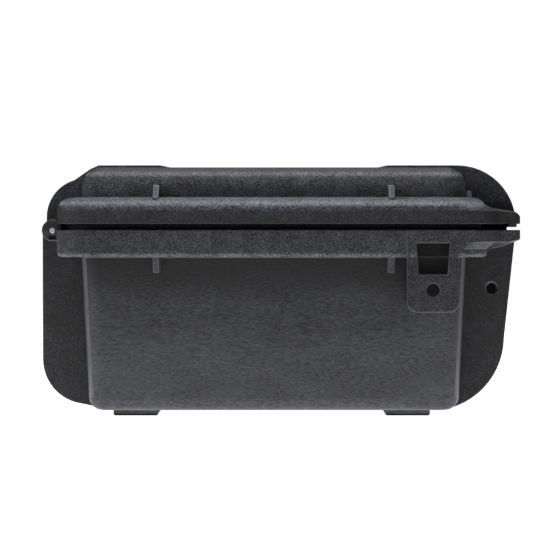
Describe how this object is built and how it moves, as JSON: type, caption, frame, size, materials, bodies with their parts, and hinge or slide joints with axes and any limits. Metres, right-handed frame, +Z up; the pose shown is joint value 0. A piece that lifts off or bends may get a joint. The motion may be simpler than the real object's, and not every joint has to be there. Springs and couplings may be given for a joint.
{
  "type": "waterproof hard case",
  "caption": "Small moulded hard case with a gasketed hinged lid, two press-and-pull latches, a folding handle and padlock ledges.",
  "frame": {"origin": "on the surface that the feet stand on, under the middle of the overall outline", "axes": "+X along the hinge, towards the right end; -Y towards the latches and handle, +Y towards the hinge; +Z up"},
  "size_m": [0.2704, 0.2426, 0.128],
  "materials": {
    "shell": "charcoal moulded plastic, fine grain",
    "latch": "black moulded plastic, satin",
    "rubber": "black rubber, matt",
    "steel": "bright stainless",
    "membrane": "white porous film"
  },
  "bodies": {
    "base": {"base_shell": "shell", "hinge_pin_left": "steel", "hinge_pin_right": "steel", "latch_pin_left": "steel", "latch_pin_right": "steel", "handle_pin_left": "steel", "handle_pin_right": "steel", "valve_body": "latch", "valve_seal": "rubber", "valve_nut": "latch", "valve_membrane": "membrane", "valve_cap": "latch"},
    "lid": {"lid_shell": "shell", "lid_gasket": "rubber"},
    "latch_left": {"latch_lever_left": "latch", "trigger_pin_left": "steel", "trigger_spring_left": "steel"},
    "latch_right": {"latch_lever_right": "latch", "trigger_pin_right": "steel", "trigger_spring_right": "steel"},
    "trigger_left": {"latch_trigger_left": "latch"},
    "trigger_right": {"latch_trigger_right": "latch"},
    "handle": {"handle_frame": "latch", "handle_grip": "rubber"}
  },
  "joints": [
    {"name": "lid_hinge", "type": "hinge", "parent": "base", "child": "lid", "pos_m": [0, 0.1145, 0.09475], "axis": [-1, 0, 0], "range_deg": [0, 105]},
    {"name": "latch_left_pivot", "type": "hinge", "parent": "base", "child": "latch_left", "pos_m": [-0.078, -0.108, 0.0655], "axis": [1, 0, 0], "range_deg": [0, 180]},
    {"name": "latch_right_pivot", "type": "hinge", "parent": "base", "child": "latch_right", "pos_m": [0.078, -0.108, 0.0655], "axis": [1, 0, 0], "range_deg": [0, 180]},
    {"name": "trigger_left_press", "type": "hinge", "parent": "latch_left", "child": "trigger_left", "pos_m": [-0.078, -0.1102, 0.0845], "axis": [-1, 0, 0], "range_deg": [0, 12], "stiffness_Nm_per_rad": 0.35, "springref_deg": -8.59, "deforming": ["trigger_spring_left"]},
    {"name": "trigger_right_press", "type": "hinge", "parent": "latch_right", "child": "trigger_right", "pos_m": [0.078, -0.1102, 0.0845], "axis": [-1, 0, 0], "range_deg": [0, 12], "stiffness_Nm_per_rad": 0.35, "springref_deg": -8.59, "deforming": ["trigger_spring_right"]},
    {"name": "handle_pivot", "type": "hinge", "parent": "base", "child": "handle", "pos_m": [0, -0.1003, 0.076], "axis": [-1, 0, 0], "range_deg": [0, 105]}
  ]
}
